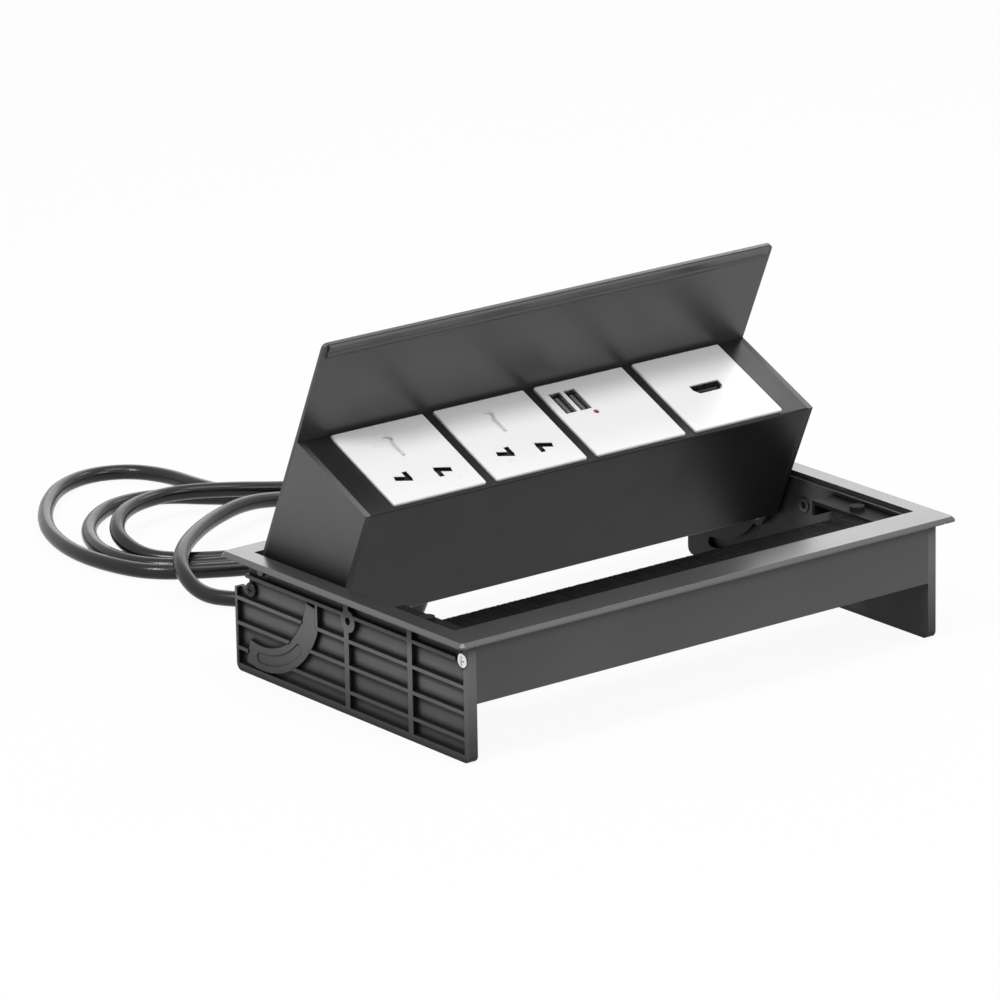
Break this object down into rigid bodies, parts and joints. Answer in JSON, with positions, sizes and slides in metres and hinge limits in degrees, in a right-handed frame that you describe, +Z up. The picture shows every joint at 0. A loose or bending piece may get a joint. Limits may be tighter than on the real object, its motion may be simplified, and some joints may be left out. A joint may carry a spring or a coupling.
{
  "type": "desktop socket hub",
  "caption": "Flip-up desktop socket hub: a rim frame for a desk cut-out, a hinged lid unit with power sockets, data ports, a brush gap and a supply lead with plug.",
  "frame": {"origin": "bottom centre of the frame, on the floor plane", "axes": "+X along the rim to the right, +Y to the rear where the lead leaves, +Z up; the open face looks forwards and up"},
  "size_m": [0.263, 0.4038, 0.1448],
  "materials": {
    "black_metal": "satin",
    "rim_metal": "satin",
    "rail_metal": "satin",
    "plate_plastic": "fine grain",
    "dark_plastic": "matt",
    "brush_hair": "bristles",
    "screw_chrome": "bright",
    "screw_dark": "dark zinc",
    "pin_steel": "ground",
    "bush_plastic": "smooth",
    "pad_rubber": "soft",
    "cord_rubber": "satin",
    "plug_plastic": "moulded",
    "module_white": "satin white",
    "shutter_white": "matt white",
    "base_grey": "moulded",
    "contact_brass": "bare",
    "shell_steel": "plated",
    "tongue_white": "moulded",
    "tongue_black": "moulded",
    "board_green": "lacquer",
    "lamp_red": "clear red",
    "wire_brown": "insulation",
    "wire_blue": "insulation",
    "wire_green": "insulation",
    "terminal_cream": "moulded"
  },
  "bodies": {
    "root_frame": {"bezel": "rim_metal", "front_rail": "rail_metal", "rear_rail": "rail_metal", "right_end_plate": "plate_plastic", "left_end_plate": "plate_plastic", "rail_screws": "screw_chrome", "side_inserts": "screw_chrome", "brush_carrier": "dark_plastic", "cable_brush": "brush_hair", "lid_pads": "pad_rubber", "pivot_bushes": "bush_plastic", "cable_clamp": "dark_plastic", "clamp_screws": "screw_dark", "hub_flex": "cord_rubber", "cord_boot": "cord_rubber", "cord": "cord_rubber", "plug_relief": "cord_rubber", "plug_body": "plug_plastic", "plug_pins": "contact_brass"},
    "hub": {"lid": "black_metal", "hub_shell": "black_metal", "right_end_cap": "plate_plastic", "left_end_cap": "plate_plastic", "cap_screws": "screw_dark", "pivot_pins": "pin_steel", "guide_pins": "pin_steel", "bus_bars": "contact_brass", "terminal_block": "terminal_cream", "live_wire": "wire_brown", "neutral_wire": "wire_blue", "earth_wire": "wire_green", "cable_gland": "dark_plastic", "gland_nut": "dark_plastic", "usb_plate": "module_white", "usb_shells": "shell_steel", "usb_tongues": "tongue_white", "usb_board": "board_green", "status_led": "lamp_red", "hdmi_plate": "module_white", "hdmi_shell": "shell_steel", "hdmi_tongue": "tongue_black", "hdmi_board": "board_green", "socket_plate_1": "module_white", "shutter_spring_1": "pin_steel", "socket_base_1": "base_grey", "socket_contacts_1": "contact_brass", "socket_plate_2": "module_white", "shutter_spring_2": "pin_steel", "socket_base_2": "base_grey", "socket_contacts_2": "contact_brass"},
    "shutter_1": {"socket_shutter_1": "shutter_white"},
    "shutter_2": {"socket_shutter_2": "shutter_white"}
  },
  "joints": [
    {"name": "hub_flip", "type": "hinge", "parent": "root_frame", "child": "hub", "pos_m": [0, 0.0615, 0.0442], "axis": [1, 0, 0], "range_deg": [0, 65.5], "deforming": ["hub_flex"]},
    {"name": "shutter_1_slide", "type": "slide", "parent": "hub", "child": "shutter_1", "axis": [0, -0.91, -0.4147], "range_m": [0, 0.0036], "stiffness_N_per_m": 200, "springref_m": -0.003, "deforming": ["shutter_spring_1"]},
    {"name": "shutter_2_slide", "type": "slide", "parent": "hub", "child": "shutter_2", "axis": [0, -0.91, -0.4147], "range_m": [0, 0.0036], "stiffness_N_per_m": 200, "springref_m": -0.003, "deforming": ["shutter_spring_2"]}
  ]
}
